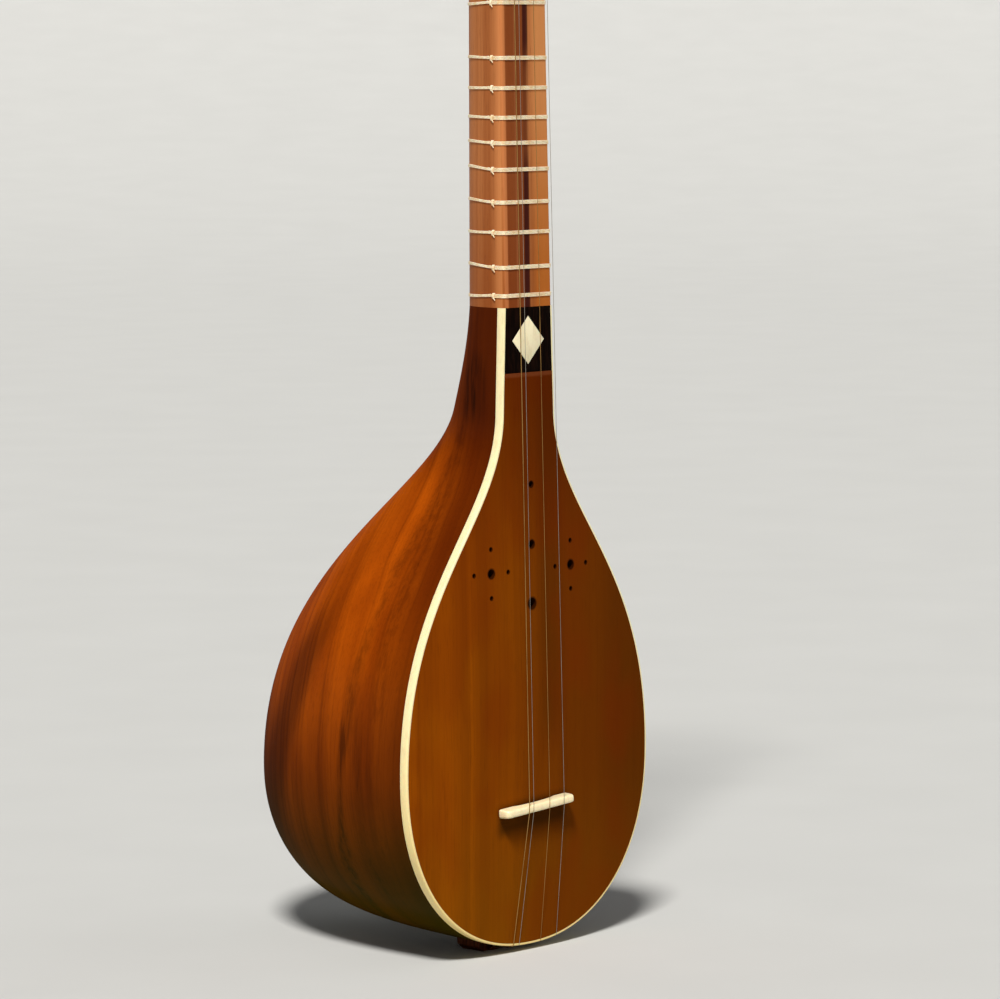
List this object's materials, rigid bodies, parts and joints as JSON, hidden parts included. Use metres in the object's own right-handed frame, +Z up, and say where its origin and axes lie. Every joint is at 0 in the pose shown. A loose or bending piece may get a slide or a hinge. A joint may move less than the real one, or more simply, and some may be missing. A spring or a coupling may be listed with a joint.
{
  "type": "setar",
  "caption": "Long-necked plucked lute with a deep carved pear-shaped bowl, thin drilled soundboard, fine metal strings, tied gut frets and friction pegs set in the front and side of its head.",
  "frame": {"origin": "middle of the flat foot of the tailpiece, under the bowl's bottom end", "axes": "+Z up the neck towards the head, -Y the way the soundboard and strings face, +X to the right of someone who looks at the soundboard"},
  "size_m": [0.1602, 0.1762, 0.8512],
  "materials": {
    "bowl_wood": "gloss",
    "board_wood": "satin",
    "neck_wood": "satin",
    "dark_wood": "satin",
    "peg_wood": "satin",
    "bone": "polished",
    "gut": "matte",
    "string_steel": "bright drawn",
    "string_bronze": "bright drawn"
  },
  "bodies": {
    "instrument": {"bowl": "bowl_wood", "soundboard": "board_wood", "binding": "bone", "inlay_plate": "dark_wood", "inlay_diamond": "bone", "neck": "neck_wood", "bridge": "bone", "nut": "bone", "tailpiece": "peg_wood", "string_1_white": "string_steel", "string_2_yellow": "string_bronze", "string_3_white": "string_steel", "string_4_bass": "string_bronze"},
    "fret_01_body": {"fret_01": "gut"},
    "fret_02_body": {"fret_02": "gut"},
    "fret_03_body": {"fret_03": "gut"},
    "fret_04_body": {"fret_04": "gut"},
    "fret_05_body": {"fret_05": "gut"},
    "fret_06_body": {"fret_06": "gut"},
    "fret_07_body": {"fret_07": "gut"},
    "fret_08_body": {"fret_08": "gut"},
    "fret_09_body": {"fret_09": "gut"},
    "fret_10_body": {"fret_10": "gut"},
    "fret_11_body": {"fret_11": "gut"},
    "fret_12_body": {"fret_12": "gut"},
    "fret_13_body": {"fret_13": "gut"},
    "fret_14_body": {"fret_14": "gut"},
    "fret_15_body": {"fret_15": "gut"},
    "fret_16_body": {"fret_16": "gut"},
    "fret_17_body": {"fret_17": "gut"},
    "fret_18_body": {"fret_18": "gut"},
    "fret_19_body": {"fret_19": "gut"},
    "fret_20_body": {"fret_20": "gut"},
    "fret_21_body": {"fret_21": "gut"},
    "fret_22_body": {"fret_22": "gut"},
    "fret_23_body": {"fret_23": "gut"},
    "fret_24_body": {"fret_24": "gut"},
    "fret_25_body": {"fret_25": "gut"},
    "peg_1_body": {"peg_1": "peg_wood", "peg_button_1": "bone"},
    "peg_2_body": {"peg_2": "peg_wood", "peg_button_2": "bone"},
    "peg_3_body": {"peg_3": "peg_wood", "peg_button_3": "bone"},
    "peg_4_body": {"peg_4": "peg_wood", "peg_button_4": "bone"}
  },
  "joints": [
    {"name": "fret_01_slide", "type": "slide", "parent": "instrument", "child": "fret_01_body", "axis": [0, 0, 1], "range_m": [-0.0025, 0.0025]},
    {"name": "fret_02_slide", "type": "slide", "parent": "instrument", "child": "fret_02_body", "axis": [0, 0, 1], "range_m": [-0.0025, 0.0025]},
    {"name": "fret_03_slide", "type": "slide", "parent": "instrument", "child": "fret_03_body", "axis": [0, 0, 1], "range_m": [-0.0025, 0.0025]},
    {"name": "fret_04_slide", "type": "slide", "parent": "instrument", "child": "fret_04_body", "axis": [0, 0, 1], "range_m": [-0.0025, 0.0025]},
    {"name": "fret_05_slide", "type": "slide", "parent": "instrument", "child": "fret_05_body", "axis": [0, 0, 1], "range_m": [-0.0025, 0.0025]},
    {"name": "fret_06_slide", "type": "slide", "parent": "instrument", "child": "fret_06_body", "axis": [0, 0, 1], "range_m": [-0.0025, 0.0025]},
    {"name": "fret_07_slide", "type": "slide", "parent": "instrument", "child": "fret_07_body", "axis": [0, 0, 1], "range_m": [-0.0025, 0.0025]},
    {"name": "fret_08_slide", "type": "slide", "parent": "instrument", "child": "fret_08_body", "axis": [0, 0, 1], "range_m": [-0.0025, 0.0025]},
    {"name": "fret_09_slide", "type": "slide", "parent": "instrument", "child": "fret_09_body", "axis": [0, 0, 1], "range_m": [-0.0025, 0.0025]},
    {"name": "fret_10_slide", "type": "slide", "parent": "instrument", "child": "fret_10_body", "axis": [0, 0, 1], "range_m": [-0.0025, 0.0025]},
    {"name": "fret_11_slide", "type": "slide", "parent": "instrument", "child": "fret_11_body", "axis": [0, 0, 1], "range_m": [-0.0025, 0.0025]},
    {"name": "fret_12_slide", "type": "slide", "parent": "instrument", "child": "fret_12_body", "axis": [0, 0, 1], "range_m": [-0.0025, 0.0025]},
    {"name": "fret_13_slide", "type": "slide", "parent": "instrument", "child": "fret_13_body", "axis": [0, 0, 1], "range_m": [-0.0025, 0.0025]},
    {"name": "fret_14_slide", "type": "slide", "parent": "instrument", "child": "fret_14_body", "axis": [0, 0, 1], "range_m": [-0.0025, 0.0025]},
    {"name": "fret_15_slide", "type": "slide", "parent": "instrument", "child": "fret_15_body", "axis": [0, 0, 1], "range_m": [-0.0025, 0.0025]},
    {"name": "fret_16_slide", "type": "slide", "parent": "instrument", "child": "fret_16_body", "axis": [0, 0, 1], "range_m": [-0.0025, 0.0025]},
    {"name": "fret_17_slide", "type": "slide", "parent": "instrument", "child": "fret_17_body", "axis": [0, 0, 1], "range_m": [-0.0025, 0.0025]},
    {"name": "fret_18_slide", "type": "slide", "parent": "instrument", "child": "fret_18_body", "axis": [0, 0, 1], "range_m": [-0.0025, 0.0025]},
    {"name": "fret_19_slide", "type": "slide", "parent": "instrument", "child": "fret_19_body", "axis": [0, 0, 1], "range_m": [-0.0025, 0.0025]},
    {"name": "fret_20_slide", "type": "slide", "parent": "instrument", "child": "fret_20_body", "axis": [0, 0, 1], "range_m": [-0.0025, 0.0025]},
    {"name": "fret_21_slide", "type": "slide", "parent": "instrument", "child": "fret_21_body", "axis": [0, 0, 1], "range_m": [-0.0025, 0.0025]},
    {"name": "fret_22_slide", "type": "slide", "parent": "instrument", "child": "fret_22_body", "axis": [0, 0, 1], "range_m": [-0.0025, 0.0025]},
    {"name": "fret_23_slide", "type": "slide", "parent": "instrument", "child": "fret_23_body", "axis": [0, 0, 1], "range_m": [-0.0025, 0.0025]},
    {"name": "fret_24_slide", "type": "slide", "parent": "instrument", "child": "fret_24_body", "axis": [0, 0, 1], "range_m": [-0.0025, 0.0025]},
    {"name": "fret_25_slide", "type": "slide", "parent": "instrument", "child": "fret_25_body", "axis": [0, 0, 1], "range_m": [-0.0025, 0.0025]},
    {"name": "peg_1_turn", "type": "hinge", "parent": "instrument", "child": "peg_1_body", "pos_m": [0, -0.01077, 0.81118], "axis": [0, -1, 0], "continuous": true},
    {"name": "peg_2_turn", "type": "hinge", "parent": "instrument", "child": "peg_2_body", "pos_m": [0, -0.0114, 0.77118], "axis": [0, -1, 0], "continuous": true},
    {"name": "peg_3_turn", "type": "hinge", "parent": "instrument", "child": "peg_3_body", "pos_m": [0, -0.00096, 0.83118], "axis": [-1, 0, 0], "continuous": true},
    {"name": "peg_4_turn", "type": "hinge", "parent": "instrument", "child": "peg_4_body", "pos_m": [0, -0.00159, 0.79118], "axis": [-1, 0, 0], "continuous": true}
  ]
}
